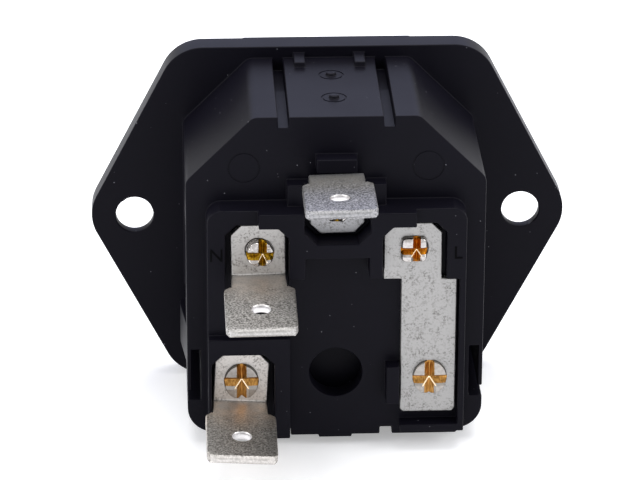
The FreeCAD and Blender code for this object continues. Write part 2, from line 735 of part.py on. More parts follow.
def build_terminal(label, x, z, droop, turn, upside_down):
    """Bent sheet terminal, drawn about its rivet: plate upright on the wall, tab out at its foot."""
    body = new_body(label)
    bend_z = "-bend_below_rivet"
    outer = "bend_inner + sheet_thickness"
    half = "plate_width / 2"
    tab = "tab_width / 2"
    tip = "-sheet_thickness - tab_reach"
    shoulder = "-sheet_thickness - tab_neck"
    tip_top = "(%s - tab_reach * tan(%s))" % (bend_z, droop)

    def side_profile(sketch):
        # First axis is Y, second is Z.  The wall lies at zero and the tab runs to negative Y.
        outline(sketch, [
            ("0", "plate_past_rivet"), ("-sheet_thickness", "plate_past_rivet"),
            ("-sheet_thickness", bend_z), (tip, tip_top), (tip, tip_top + " - sheet_thickness"),
            ("0", bend_z + " - sheet_thickness")])
    extrude(body, "Pad", "strip", "YZ_Plane", "-" + tab, tab, side_profile)
    for name, radius, y, height in (
            ("inner bend", "bend_inner", "-sheet_thickness", bend_z),
            ("outer bend", outer, "0", bend_z + " - sheet_thickness")):
        edge_y, edge_z = number(y), number(height)

        def bend_edge(edge):
            box = edge.BoundBox
            across = box.YLength < SAME and box.ZLength < SAME
            return across and abs(box.YMin - edge_y) < SAME and abs(box.ZMin - edge_z) < SAME
        dress(body, "Fillet", name, radius, bend_edge)

    tip_y = number(tip)

    def tip_corners(edge):
        box = edge.BoundBox
        return box.XLength < SAME and box.YLength < SAME and abs(box.YMin - tip_y) < SAME
    dress(body, "Fillet", "tab corners", "tab_corner", tip_corners)

    def tip_bevels(sketch):
        for face, away in ((tip_top, 1), (tip_top + " - sheet_thickness", -1)):
            beyond = "%s + %d * sunk" % (face, away)
            outline(sketch, [
                (tip + " + tab_tip_chamfer", face), (tip, "%s - %d * tab_tip_chamfer" % (face, away)),
                (tip, beyond), (tip + " + tab_tip_chamfer", beyond)])
    extrude(body, "Pocket", "tab tip bevels", "YZ_Plane", "-" + tab, tab, tip_bevels)

    def trimmed_sides(sketch):
        # Seen from above: what is cut away beside the plate and the neck.
        for side in (-1, 1):
            outline(sketch, [
                ("%d * (%s)" % (side, half), "overcut"), ("%d * (%s)" % (side, half), shoulder),
                ("%d * (%s - tab_shoulder)" % (side, tab), shoulder),
                ("%d * (%s)" % (side, tab), shoulder + " - tab_shoulder"),
                ("%d * (%s + overcut)" % (side, tab), shoulder + " - tab_shoulder"),
                ("%d * (%s + overcut)" % (side, tab), "overcut")])
        circle(sketch, "0", tip + " + tab_hole_from_tip", "tab_hole")
    extrude(body, "Pocket", "outline and hole", "XY_Plane", "-tab_reach", "tab_reach", trimmed_sides)

    def corner_cuts(sketch):
        for side in (-1, 1):
            outline(sketch, [
                ("%d * (%s - plate_chamfer)" % (side, half), "plate_past_rivet"),
                ("%d * (%s)" % (side, half), "plate_past_rivet - plate_chamfer"),
                ("%d * (%s + overcut)" % (side, half), "plate_past_rivet - plate_chamfer"),
                ("%d * (%s + overcut)" % (side, half), "plate_past_rivet + overcut"),
                ("%d * (%s - plate_chamfer)" % (side, half), "plate_past_rivet + overcut")])
        circle(sketch, "0", "0", "shank + 2 * rivet_hole_gap")
    pocket(body, "plate corners and rivet hole", "-overcut", "sheet_thickness + overcut", corner_cuts)

    turned = "%s + (%s)" % ("180" if upside_down else "0", turn)
    body.Placement = FreeCAD.Placement(
        FreeCAD.Vector(), FreeCAD.Rotation(FreeCAD.Vector(0, 1, 0), number(turned)))
    body.setExpression("Placement.Rotation.Angle", bound(turned))
    body.setExpression("Placement.Base.x", bound(x))
    body.setExpression("Placement.Base.y", bound("-seat_depth"))
    body.setExpression("Placement.Base.z", bound(z))
    doc.recompute()
    return body


def build_link():
    """Flat strip that joins the line pin to the right fuse contact, with a sideways step."""
    body = new_body("line_link")
    left, low_left = LINK_UPPER_LEFT, LINK_LOWER_LEFT
    right = left + " + link_upper_width"
    low_right = low_left + " + link_lower_width"

    def strip(sketch):
        outline(sketch, [
            (low_left + " + link_foot_corner", "link_bottom"),
            (low_right + " - link_foot_corner", "link_bottom"),
            (low_right, "link_bottom + link_foot_corner"), (low_right, "link_step"), (right, "link_step"),
            (right, "link_top - link_corner"), (right + " - link_corner", "link_top"),
            (left + " + link_corner", "link_top"), (left, "link_top - link_corner"),
            (left, "link_step"), (low_left, "link_step"), (low_left, "link_bottom + link_foot_corner")])
        circle(sketch, "pin_pitch / 2", "pin_height", "shank + 2 * rivet_hole_gap")
        circle(sketch, CONTACT_X, "fuse_height", "shank + 2 * rivet_hole_gap")
    pad(body, "strip", "seat_depth", PLATE_FRONT, strip)
    return body


build_terminal("neutral_terminal", "-pin_pitch / 2", "pin_height", "neutral_droop", "neutral_turn", False)
build_terminal("earth_terminal", "0", EARTH_HEIGHT, "-earth_droop", "earth_turn", True)
build_terminal("fused_line_terminal", "-" + CONTACT_X, "fuse_height", "line_droop", "line_turn", False)
build_link()


# --- fuse contacts --------------------------------------------------------------------------

def build_fuse_contact(label, x):
    """Spring clip: a base riveted to the wall and two jaws that take the fuse's cap between them."""
    body = new_body(label)
    base = "(-cavity_floor)"
    inner = "(cap_diameter / 2 + fuse_play)"
    tip = "(%s + contact_reach)" % base

    def jaw_profile(sketch):
        upper = [
            (base, "contact_base_height / 2"), (base + " + contact_sheet", "contact_base_height / 2"),
            (tip, inner + " + contact_sheet"),
            (tip + " + contact_mouth", inner + " + contact_sheet + contact_mouth"),
            (tip + " + contact_mouth", inner + " + contact_mouth"), (tip, inner),
            (base + " + contact_sheet", inner)]
        corners = [(y, "fuse_height + (%s)" % z) for y, z in upper]
        corners += [(y, "fuse_height - (%s)" % z) for y, z in reversed(upper)]
        outline(sketch, corners)
    extrude(body, "Pad", "jaws", "YZ_Plane",
            "%s - contact_width / 2" % x, "%s + contact_width / 2" % x, jaw_profile)
    pocket(body, "rivet hole", "cavity_floor - contact_sheet - overcut", "cavity_floor + overcut",
           circle, x, "fuse_height", "shank + 2 * rivet_hole_gap")
    return body


build_fuse_contact("left_fuse_contact", "-" + CONTACT_X)
build_fuse_contact("right_fuse_contact", CONTACT_X)


# --- fuses ----------------------------------------------------------------------------------

def turned_piece(label, y, z, profile):
    """A body turned about an axis parallel to X: the profile's corners are X and radius."""
    body = new_body(label)
    sketch = sketch_on(body, "XY_Plane")
    outline(sketch, profile)
    turning = body.newObject("PartDesign::Revolution", "Turning")
    turning.Profile = sketch
    turning.ReferenceAxis = (sketch, ["H_Axis"])
    turning.Angle = 360
    body.setExpression("Placement.Base.y", bound(y))
    body.setExpression("Placement.Base.z", bound(z))
    doc.recompute()
    return body


def build_fuse(prefix, depth, z):
    y = "-(%s)" % depth
    end = "fuse_length / 2"
    stop = "(fuse_length / 2 - cap_end)"
    bore = "(cap_diameter / 2 - cap_wall)"
    turned_piece(prefix + "_glass_tube", y, z, [
        ("-" + stop, "glass_diameter / 2 - glass_wall"), (stop, "glass_diameter / 2 - glass_wall"),
        (stop, "glass_diameter / 2"), ("-" + stop, "glass_diameter / 2")])
    for side, name in ((-1, "_cap_left"), (1, "_cap_right")):
        turned_piece(prefix + name, y, z, [
            ("%d * %s" % (side, end), "0"), ("%d * %s" % (side, end), "cap_diameter / 2 - cap_edge"),
            ("%d * (%s - cap_edge)" % (side, end), "cap_diameter / 2"),
            ("%d * (%s - cap_length)" % (side, end), "cap_diameter / 2"),
            ("%d * (%s - cap_length)" % (side, end), bore), ("%d * %s" % (side, stop), bore),
            ("%d * %s" % (side, stop), "0")])
    turned_piece(prefix + "_wire", y, z, [
        ("-" + stop, "0"), (stop, "0"), (stop, "wire_diameter / 2"), ("-" + stop, "wire_diameter / 2")])


build_fuse("fuse", "fuse_depth", "fuse_height")
build_fuse("spare_fuse", "spare_depth", SPARE_HEIGHT)


# --- drawer ---------------------------------------------------------------------------------

def build_drawer():
    """Front plate, tray with a closed pocket for the spare fuse, and a cradle for the fuse in use."""
    body = new_body("fuse_drawer")
    back = "%s + front_thickness" % FRONT_DEPTH
    left, right = "-" + FRONT_HALF, FRONT_HALF
    low, high = "fuse_height - front_height / 2", "fuse_height + front_height / 2"
    pad(body, "front plate", FRONT_DEPTH, back, rectangle, left, low, right, high)
    corners = [(left, low), (right, low), (right, high), (left, high)]
    dress(body, "Fillet", "front plate corners", "front_corner", along_depth(corners))
    pad(body, "tray", back, DRAWER_END, rectangle, "-" + DRAWER_HALF, DRAWER_BOTTOM, DRAWER_HALF, DRAWER_TOP)

    inner = "(%s - drawer_wall)" % DRAWER_HALF
    floor = "%s + drawer_wall" % DRAWER_BOTTOM
    spare_end = "partition_depth - drawer_wall"
    pocket(body, "spare fuse pocket", back, spare_end, rectangle,
           "-" + inner, floor, inner, "%s + overcut" % DRAWER_TOP)
    pocket(body, "fuse bay", "partition_depth", DRAWER_END, rectangle,
           "-" + inner, floor, inner, "%s + overcut" % DRAWER_TOP)

    def arm_trims(sketch):
        for side in (-1, 1):
            inside = "%d * (%s - overcut)" % (side, inner)
            outside = "%d * (%s + overcut)" % (side, DRAWER_HALF)
            near, far = sorted((inside, outside), key=number)
            rectangle(sketch, near, "fuse_height + arm_height / 2", far, "%s + overcut" % DRAWER_TOP)
    pocket(body, "side arm tops", "partition_depth", DRAWER_END, arm_trims)

    pad(body, "saddle", "partition_depth - sunk", DRAWER_END, rectangle,
        "-saddle_width / 2", DRAWER_BOTTOM, "saddle_width / 2", "fuse_height")
    pad(body, "rear rail", "%s - drawer_wall" % DRAWER_END, DRAWER_END, rectangle,
        "-rail_width / 2", DRAWER_BOTTOM, "rail_width / 2", "fuse_height + rail_top")

    def groove(sketch):
        circle(sketch, "-fuse_depth", "fuse_height", "glass_diameter + 2 * saddle_gap")
    extrude(body, "Pocket", "fuse groove", "YZ_Plane", "-rail_width / 2", "rail_width / 2", groove)

    pad(body, "pull lip", FRONT_DEPTH, "%s + lip_thickness" % FRONT_DEPTH, rectangle,
        "-lip_width / 2", "fuse_height", "lip_width / 2", "%s + lip_rise" % high)
    pocket(body, "pry slot", FRONT_DEPTH, "%s + pry_deep" % FRONT_DEPTH, rectangle,
           "-pry_width / 2", "fuse_height + pry_rise",
           "pry_width / 2", "fuse_height + pry_rise + pry_height")
    return body


build_drawer()


# --- check and export -----------------------------------------------------------------------

doc.recompute()
failed = [item.Label for item in doc.Objects if "Invalid" in item.State or "Error" in item.State]
if failed:
    raise RuntimeError("these features failed: %s" % ", ".join(failed))

os.makedirs("parts", exist_ok=True)
for body in [item for item in doc.Objects if item.TypeId == "PartDesign::Body"]:
    shape = body.Shape
    if shape.isNull() or not shape.isValid() or len(shape.Solids) != 1:
        raise RuntimeError("%s is not one sound solid" % body.Label)
    shape.exportStep("parts/%s.step" % body.Label)
    print("%-26s %9.2f mm3 %s" % (body.Label, shape.Volume, shape.BoundBox))
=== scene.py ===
import bmesh
import bpy
import math
from mathutils import Matrix, Vector
from mathutils.geometry import intersect_point_line


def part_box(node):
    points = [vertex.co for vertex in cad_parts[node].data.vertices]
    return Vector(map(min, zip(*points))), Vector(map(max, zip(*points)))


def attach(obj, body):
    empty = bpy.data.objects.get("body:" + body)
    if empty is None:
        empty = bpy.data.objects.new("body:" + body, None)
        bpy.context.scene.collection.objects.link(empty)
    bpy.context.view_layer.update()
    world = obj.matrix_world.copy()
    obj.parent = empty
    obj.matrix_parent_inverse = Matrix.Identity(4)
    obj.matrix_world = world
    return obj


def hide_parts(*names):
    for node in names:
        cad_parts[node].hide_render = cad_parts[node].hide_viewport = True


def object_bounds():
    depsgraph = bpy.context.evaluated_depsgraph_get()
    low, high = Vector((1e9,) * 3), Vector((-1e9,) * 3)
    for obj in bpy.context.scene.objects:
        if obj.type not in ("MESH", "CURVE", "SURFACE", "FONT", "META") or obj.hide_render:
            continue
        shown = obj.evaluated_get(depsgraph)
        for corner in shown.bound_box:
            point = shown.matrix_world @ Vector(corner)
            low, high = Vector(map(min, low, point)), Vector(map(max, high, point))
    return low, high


# Fused C14 panel inlet, seen from its wiring side.  Metres, with lengths written in millimetres times MM.
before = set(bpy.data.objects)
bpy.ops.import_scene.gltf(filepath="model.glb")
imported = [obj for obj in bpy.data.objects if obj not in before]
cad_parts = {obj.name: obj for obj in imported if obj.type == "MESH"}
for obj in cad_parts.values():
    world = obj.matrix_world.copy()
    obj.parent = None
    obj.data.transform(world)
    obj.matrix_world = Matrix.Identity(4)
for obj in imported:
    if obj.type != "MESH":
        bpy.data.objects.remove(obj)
cad_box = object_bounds()


# --- camera ---------------------------------------------------------------------------------
# A long lens, above the wiring side and a little to the left, level to within a quarter of a degree.

MM = 0.001
EYE = Vector((-16.18, -324.21, 139.15)) * MM
YAW, PITCH, ROLL = math.radians(2.73), math.radians(23.63), math.radians(0.24)
FOCAL_LENGTH, SENSOR_WIDTH = 212.9, 36
CLIP_START = 10 * MM

forward = Vector((math.sin(YAW) * math.cos(PITCH), math.cos(YAW) * math.cos(PITCH), -math.sin(PITCH)))
right = Vector((math.cos(YAW), -math.sin(YAW), 0))
up = right.cross(forward)
turned_right = math.cos(ROLL) * right + math.sin(ROLL) * up
turned_up = math.cos(ROLL) * up - math.sin(ROLL) * right

lens = bpy.data.cameras.new("camera")
lens.lens = FOCAL_LENGTH
lens.sensor_width = SENSOR_WIDTH
lens.clip_start = CLIP_START
camera = bpy.data.objects.new("camera", lens)
axes = Matrix((turned_right, turned_up, -forward)).transposed()
camera.matrix_world = Matrix.Translation(EYE) @ axes.to_4x4()
bpy.context.scene.collection.objects.link(camera)
bpy.context.scene.camera = camera
bpy.context.scene.view_settings.view_transform = "Standard"


# --- floor and light ------------------------------------------------------------------------
# A matt white table top without an edge in view, and a white room.  The room is a little dimmer as a
# light than as a background, so that black mouldings keep their depth.

ROOM_LIGHT = 0.62
ROOM_COLOUR = "#F4F6FF"
TABLE_HALF = 900 * MM
TABLE_LIFT = 0.34
TABLE_WHITE = "#F3F3F3"


def linear(hex_colour):
    """An sRGB hex colour as the linear numbers that shaders work in, with an alpha of one."""
    channels = [int(hex_colour[i:i + 2], 16) / 255 for i in (1, 3, 5)]
    return tuple(c / 12.92 if c <= 0.04045 else ((c + 0.055) / 1.055) ** 2.4 for c in channels) + (1.0,)


def add(tree, kind, inputs=(), **settings):
    """Adds one node, with its settings, and links or sets its inputs."""
    made = tree.nodes.new("ShaderNode" + kind)
    for name, value in settings.items():
        setattr(made, name, value)
    for name, value in dict(inputs).items():
        if isinstance(value, bpy.types.NodeSocket):
            tree.links.new(value, made.inputs[name])
        else:
            made.inputs[name].default_value = value
    return made


def new_material(name):
    """A material with an empty tree."""
    material = bpy.data.materials.new(name)
    material.use_nodes = True
    material.node_tree.nodes.clear()
    return material, material.node_tree


def seen_directly(tree):
    """One for the rays that show the room itself: to the camera, off gloss and through glass."""
    path = add(tree, "LightPath")
    first = add(tree, "Math", {0: path.outputs["Is Camera Ray"], 1: path.outputs["Is Transmission Ray"]},
                operation="MAXIMUM")
    return add(tree, "Math", {0: first.outputs[0], 1: path.outputs["Is Glossy Ray"]},
               operation="MAXIMUM").outputs[0]


world = bpy.data.worlds.new("room")
world.use_nodes = True
bpy.context.scene.world = world
room = world.node_tree
room.nodes.clear()
dim = add(room, "Background", {"Color": linear(ROOM_COLOUR), "Strength": ROOM_LIGHT})
white = add(room, "Background", {"Color": linear("#FFFFFF"), "Strength": 1.0})
mixed = add(room, "MixShader", {0: seen_directly(room), 1: dim.outputs[0], 2: white.outputs[0]})
add(room, "OutputWorld", {"Surface": mixed.outputs[0]})

table = bmesh.new()
bmesh.ops.create_grid(table, x_segments=2, y_segments=2, size=TABLE_HALF)
bmesh.ops.translate(table, verts=table.verts, vec=(0, 0, cad_box[0][2]))
floor_mesh = bpy.data.meshes.new("floor")
table.to_mesh(floor_mesh)
table.free()
floor = bpy.data.objects.new("floor", floor_mesh)
bpy.context.scene.collection.objects.link(floor)

# Matt laminate: an even white that keeps a soft shadow.  What lifts it to full white shows only to the
# rays that see it directly, and puts no light on the object.
laminate, tree = new_material("matt white laminate")
diffuse = add(tree, "BsdfDiffuse", {"Color": linear(TABLE_WHITE)})
lift = add(tree, "Emission", {"Color": linear("#FFFFFF"), "Strength": TABLE_LIFT})
both = add(tree, "AddShader", {0: diffuse.outputs[0], 1: lift.outputs[0]})
surface = add(tree, "MixShader", {0: seen_directly(tree), 1: diffuse.outputs[0], 2: both.outputs[0]})
add(tree, "OutputMaterial", {"Surface": surface.outputs[0]})
floor_mesh.materials.append(laminate)

# Softboxes: name, place and side length in metres, power in watts, and colour.  Each faces the object.
SOFTBOXES = [
    ("overhead softbox", (0.05, 0.10, 0.75), 0.60, 5.0, "#FFFFFF"),
    ("left softbox", (-0.60, -0.25, 0.35), 0.40, 2.0, "#FFFFFF"),
    ("right softbox", (0.60, -0.25, 0.35), 0.40, 2.0, "#FFFFFF"),
    ("cool back light", (0.0, 0.90, 0.40), 0.70, 0.8, "#6E8CFF"),
]
for name, place, side, power, colour in SOFTBOXES:
    lamp = bpy.data.lights.new(name, "AREA")
    lamp.size = side
    lamp.energy = power
    lamp.color = linear(colour)[:3]
    softbox = bpy.data.objects.new(name, lamp)
    softbox.location = place
    softbox.rotation_euler = (-Vector(place)).to_track_quat("-Z", "Y").to_euler()
    bpy.context.scene.collection.objects.link(softbox)


# --- housing and drawer ---------------------------------------------------------------------
# One black glass-filled polyester moulding, and the drawer that slides in it.  The tool was spark-eroded
# and leaves a fine matt skin; edges are broken by the tool's own small radius, and dust clings to them.

MOULD_RADIUS = 0.11 * MM
MOULD_GRAIN = 0.11 * MM
MOULD_CLOUD = 5 * MM
DUST_SPACING, DUST_SHARE = 1.1 * MM, 0.05
DUST = "#77777D"
WELD_GAP = 0.002 * MM
FLAT = math.radians(0.6)
SHARP = math.radians(32)
STRAIGHT_ON = math.cos(math.radians(30))
LIES_ACROSS = 0.7
ROOM_PER_RADIUS = 2.2


def is_sharp(edge):
    """True where two faces meet at a clear corner."""
    return len(edge.link_faces) == 2 and edge.calc_face_angle(0) > SHARP


def is_crowded(loop, reach):
    """True where a face is too narrow beside one of its edges: another edge lies close across it."""
    start, end = loop.vert.co, loop.link_loop_next.vert.co
    inward = loop.face.normal.cross((end - start).normalized())
    others = [edge for edge in loop.face.edges if not set(edge.verts) & set(loop.edge.verts)]
    for share in (0.0, 0.5, 1.0):
        point = start.lerp(end, share)
        for other in others:
            first, last = (vert.co for vert in other.verts)
            along = intersect_point_line(point, first, last)[1]
            gap = first.lerp(last, min(max(along, 0.0), 1.0)) - point
            if gap.length < reach and gap.dot(inward) > LIES_ACROSS * gap.length:
                return True
    return False


def has_room(edge, radius):
    """True where an edge can be rounded: its faces are wide enough, and it isn't a short stub."""
    room = ROOM_PER_RADIUS * radius
    length = edge.calc_length()
    if min(face.calc_area() for face in edge.link_faces) < room * length:
        return False
    if any(is_crowded(loop, room) for loop in edge.link_loops):
        return False
    if length > room:
        return True
    for vert in edge.verts:
        along = (vert.co - edge.other_vert(vert).co).normalized()
        onward = [(other.other_vert(vert).co - vert.co).normalized()
                  for other in vert.link_edges if other is not edge and is_sharp(other)]
        if not any(along.dot(way) > STRAIGHT_ON for way in onward):
            return False
    return True


def merged(node):
    """A copy of a CAD node's mesh, its loose triangles joined into whole faces."""
    shape = bmesh.new()
    shape.from_mesh(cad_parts[node].data)
    bmesh.ops.remove_doubles(shape, verts=shape.verts, dist=WELD_GAP)
    bmesh.ops.dissolve_limit(shape, angle_limit=FLAT, verts=shape.verts, edges=shape.edges)
    return shape


def round_edges(shape, radius):
    """Rounds the sharp edges that have room for it, and marks the rest as sharp."""
    sharp = [edge for edge in shape.edges if is_sharp(edge)]
    rounded = [edge for edge in sharp if has_room(edge, radius)]
    for edge in set(sharp) - set(rounded):
        edge.smooth = False
    bmesh.ops.bevel(shape, geom=rounded, offset=radius, affect="EDGES", segments=2, profile=0.5,
                    material=-1, clamp_overlap=False, loop_slide=False)


def stand_in(shape, node, body):
    """The finished piece that stands for a CAD node, shaded so that flat faces look flat."""
    mesh = bpy.data.meshes.new(node + "_piece")
    shape.to_mesh(mesh)
    shape.free()
    for face in mesh.polygons:
        face.use_smooth = True
    piece = bpy.data.objects.new(node + "_piece", mesh)
    bpy.context.scene.collection.objects.link(piece)
    shading = piece.modifiers.new("flat faces", "WEIGHTED_NORMAL")
    shading.mode = "FACE_AREA"
    shading.weight = 50
    shading.keep_sharp = True
    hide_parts(node)
    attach(piece, body)
    return piece


def softened(node, radius, body):
    """The finished piece for a CAD node, with its corners broken to a radius."""
    shape = merged(node)
    round_edges(shape, radius)
    return stand_in(shape, node, body)


def polyester(name, deep, pale, rough_low, rough_high, gloss):
    """Moulded polyester: a cool matt black, faintly clouded where the plastic flowed, with pale dust.

    The tool's real grain is finer than MOULD_GRAIN, and is drawn as coarse as it needs to show.
    """
    material, tree = new_material(name)
    place = add(tree, "TexCoord").outputs["Object"]
    grain = add(tree, "TexNoise", {"Vector": place, "Scale": 1 / MOULD_GRAIN, "Detail": 2.0})
    flow = add(tree, "TexNoise", {"Vector": place, "Scale": 1 / MOULD_CLOUD, "Detail": 3.0})
    dust = add(tree, "TexVoronoi", {"Vector": place, "Scale": 1 / DUST_SPACING})
    near = add(tree, "Math", {0: dust.outputs["Distance"], 1: DUST_SHARE}, operation="LESS_THAN")
    tint = add(tree, "SeparateColor", {"Color": dust.outputs["Color"]})
    speck = add(tree, "Math", {0: near.outputs[0], 1: tint.outputs["Red"]}, operation="MULTIPLY")
    black = add(tree, "Mix", {0: flow.outputs["Fac"], 6: linear(deep), 7: linear(pale)}, data_type="RGBA")
    dusty = add(tree, "Mix", {0: speck.outputs[0], 6: black.outputs[2], 7: linear(DUST)},
                data_type="RGBA")
    rough = add(tree, "MapRange", {"Value": flow.outputs["Fac"], "To Min": rough_low, "To Max": rough_high})
    relief = add(tree, "Bump", {"Height": grain.outputs["Fac"], "Strength": 0.22, "Distance": 0.02 * MM})
    skin = add(tree, "BsdfPrincipled", {
        "Base Color": dusty.outputs[2], "Roughness": rough.outputs[0], "Normal": relief.outputs[0],
        "IOR": 1.5, "Specular IOR Level": gloss})
    add(tree, "OutputMaterial", {"Surface": skin.outputs[0]})
    return material


eroded = polyester("black glass-filled polyester, spark-eroded", "#0B0A11", "#0F0E16", 0.36, 0.48, 0.07)
softened("inlet_housing", MOULD_RADIUS, "inlet").data.materials.append(eroded)
softened("fuse_drawer", MOULD_RADIUS, "drawer").data.materials.append(eroded)


# --- terminal letters -----------------------------------------------------------------------
# N and L are moulded with the housing and stand 0.05 mm proud of its raised frame, beside the poles that
# they name.  Their skin is smoother than the eroded one around them, and its colour is darker as painted
# shade.

FRAME_FACE = -17.1 * MM
LETTER_HEIGHT = 1.2 * MM
LETTER_RISE = 0.05 * MM
CAPITAL_SHARE = 0.7

# Smooth polyester, its colour painted darker than the matt skin as shade, so that the letters look deeper.
letter_skin_painted_shade = polyester("black polyester, smooth, darkened as painted shade", "#020204", "#040406", 0.20, 0.28, 0.03)


def moulded_letter(name, character, x, z):
    """One raised letter that faces the wiring side."""
    text = bpy.data.curves.new(name, "FONT")
    text.body = character
    text.size = LETTER_HEIGHT / CAPITAL_SHARE
    text.extrude = LETTER_RISE
    text.align_x = "CENTER"
    text.align_y = "CENTER"
    flat = bpy.data.objects.new(name, text)
    bpy.context.scene.collection.objects.link(flat)
    bpy.context.view_layer.update()
    mesh = bpy.data.meshes.new_from_object(flat)
    bpy.data.objects.remove(flat)
    mesh.transform(Matrix.Translation((x, FRAME_FACE, z)) @ Matrix.Rotation(math.radians(90), 4, "X"))
    mesh.materials.clear()
    mesh.materials.append(letter_skin_painted_shade)
    piece = bpy.data.objects.new(name, mesh)
    bpy.context.scene.collection.objects.link(piece)
    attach(piece, "inlet")


moulded_letter("letter_n", "N", -10.74 * MM, 3.2 * MM)
moulded_letter("letter_l", "L", 10.78 * MM, 3.15 * MM)


# --- terminals and link ---------------------------------------------------------------------
# Half-hard brass strip, tin-plated before it was stamped and bent, and riveted on by the pins.  The
# upright plates are dull and even; the tabs have a coarse salt-and-pepper grain, painted darker than the
# plates as shade, and the tin thins to a warm tint at the bends.

TIN_GRAIN = 0.17 * MM
TIN_PATCH = 0.9 * MM
SPECKS_BELOW = 0.52
PLATE_FACE = -16.4 * MM
NECK_FULL = -17.0 * MM
NECK_FADES, NECK_ENDS = -18.6 * MM, -22.0 * MM
TAB_FROM, TAB_TO = -16.9 * MM, -19.5 * MM
TIP_FACE = -26.55 * MM
TIP_EDGE = 0.1 * MM
STAMPED_RADIUS = 0.12 * MM
HOLE_FROM_TIP = 3.8 * MM
HOLE_REACH = 0.95 * MM
HOLE_WALL_TILT = 0.5
HOLE_WALL = 1


def tin_strip(name, mean, spot, dark, light, warm):
    """Plated strip: a dull silvery skin with dark specks in patches, and a coarse grain on the tab, painted
    darker as shade.

    The colours are those of the plate and its specks, of the tab's two grains, and of the bent neck.
    """
    material, tree = new_material(name)
    place = add(tree, "TexCoord").outputs["Object"]
    where = add(tree, "SeparateXYZ", {"Vector": place})
    fine = add(tree, "TexNoise", {"Vector": place, "Scale": 1 / TIN_GRAIN, "Detail": 3.0, "Roughness": 0.6})
    patch = add(tree, "TexNoise", {"Vector": place, "Scale": 1 / TIN_PATCH, "Detail": 2.0})
    tab = add(tree, "MapRange", {"Value": where.outputs["Y"], "From Min": TAB_FROM, "From Max": TAB_TO})
    above = add(tree, "Math", {0: SPECKS_BELOW, 1: fine.outputs["Fac"]}, operation="SUBTRACT")
    spots = add(tree, "MapRange", {"Value": above.outputs[0], "From Min": 0.0, "From Max": 0.16})
    spread = add(tree, "MapRange", {"Value": patch.outputs["Fac"], "From Min": 0.35, "From Max": 0.65,
                                    "To Min": 0.15, "To Max": 0.9})
    amount = add(tree, "Math", {0: spots.outputs[0], 1: spread.outputs[0]}, operation="MULTIPLY")
    even = add(tree, "Mix", {0: amount.outputs[0], 6: linear(mean), 7: linear(spot)}, data_type="RGBA")
    # The tab's two grain colours are set darker than the plate: a real coarse grain, with painted shade.
    pepper = add(tree, "MapRange", {"Value": fine.outputs["Fac"], "From Min": 0.36, "From Max": 0.66})
    tab_grain_with_painted_shade = add(tree, "Mix", {0: pepper.outputs[0], 6: linear(dark), 7: linear(light)}, data_type="RGBA")
    both = add(tree, "Mix", {0: tab.outputs[0], 6: even.outputs[2], 7: tab_grain_with_painted_shade.outputs[2]}, data_type="RGBA")
    to_neck = add(tree, "MapRange", {"Value": where.outputs["Y"], "From Min": PLATE_FACE,
                                     "From Max": NECK_FULL})
    past_neck = add(tree, "MapRange", {"Value": where.outputs["Y"], "From Min": NECK_FADES,
                                       "From Max": NECK_ENDS, "To Min": 1.0, "To Max": 0.0})
    neck = add(tree, "Math", {0: to_neck.outputs[0], 1: past_neck.outputs[0]}, operation="MULTIPLY")
    share = add(tree, "Math", {0: neck.outputs[0], 1: patch.outputs["Fac"]}, operation="MULTIPLY")
    tinted = add(tree, "Mix", {0: share.outputs[0], 6: both.outputs[2], 7: linear(warm)}, data_type="RGBA")
    tip = add(tree, "MapRange", {"Value": where.outputs["Y"], "From Min": TIP_FACE,
                                 "From Max": TIP_FACE - TIP_EDGE, "To Max": 0.65})
    colour = add(tree, "Mix", {0: tip.outputs[0], 6: tinted.outputs[2], 7: linear(mean)}, data_type="RGBA")
    rough = add(tree, "MapRange", {"Value": fine.outputs["Fac"], "To Min": 0.36, "To Max": 0.58})
    relief = add(tree, "Bump", {"Height": fine.outputs["Fac"], "Strength": 0.40, "Distance": 0.02 * MM})
    tin = add(tree, "BsdfPrincipled", {
        "Base Color": colour.outputs[2], "Metallic": 1.0, "Roughness": rough.outputs[0],
        "Normal": relief.outputs[0]})
    add(tree, "OutputMaterial", {"Surface": tin.outputs[0]})
    return material


def plain_metal(name, colour, rough, metallic=1.0):
    """A metal skin that is even all over."""
    material, tree = new_material(name)
    skin = add(tree, "BsdfPrincipled", {"Base Color": linear(colour), "Metallic": metallic,
                                        "Roughness": rough})
    add(tree, "OutputMaterial", {"Surface": skin.outputs[0]})
    return material


# The punch rubs the wall of a hole smooth; its near-white colour is a painted glint.
hole_wall_painted_glint = plain_metal("brass wall of a punched hole, burnished", "#D8D6D6", 0.30)

# Per strip: the plate and its specks, the tab's dark and light grain (set darker than the plate as painted
# shade), and the neck's warm tint.
STRIPS = {
    "neutral_terminal": ("#B6B4B2", "#6A6764", "#605E5B", "#D2CFCC", "#DDD2C8"),
    "earth_terminal": ("#9C9C9E", "#565452", "#4A4A4D", "#C2C1C3", "#A4A09A"),
    "fused_line_terminal": ("#CFCBC8", "#7C7874", "#78746F", "#DEDAD5", "#E4D0BC"),
    "line_link": ("#9E9D9C", "#646260", "#7A7875", "#C0BEBB", "#A09F9E"),
}
for node, (mean, spot, dark, light, warm) in STRIPS.items():
    piece = softened(node, STAMPED_RADIUS, "inlet")
    piece.data.materials.append(tin_strip("tin plate on brass strip, " + node, mean, spot, dark, light, warm))
    piece.data.materials.append(hole_wall_painted_glint)
    low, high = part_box(node)
    hole = Vector(((low.x + high.x) / 2, low.y + HOLE_FROM_TIP, 0))
    for face in piece.data.polygons:
        across = Vector((face.center.x, face.center.y, 0)) - hole
        if across.length < HOLE_REACH and abs(face.normal.z) < HOLE_WALL_TILT:
            face.material_index = HOLE_WALL
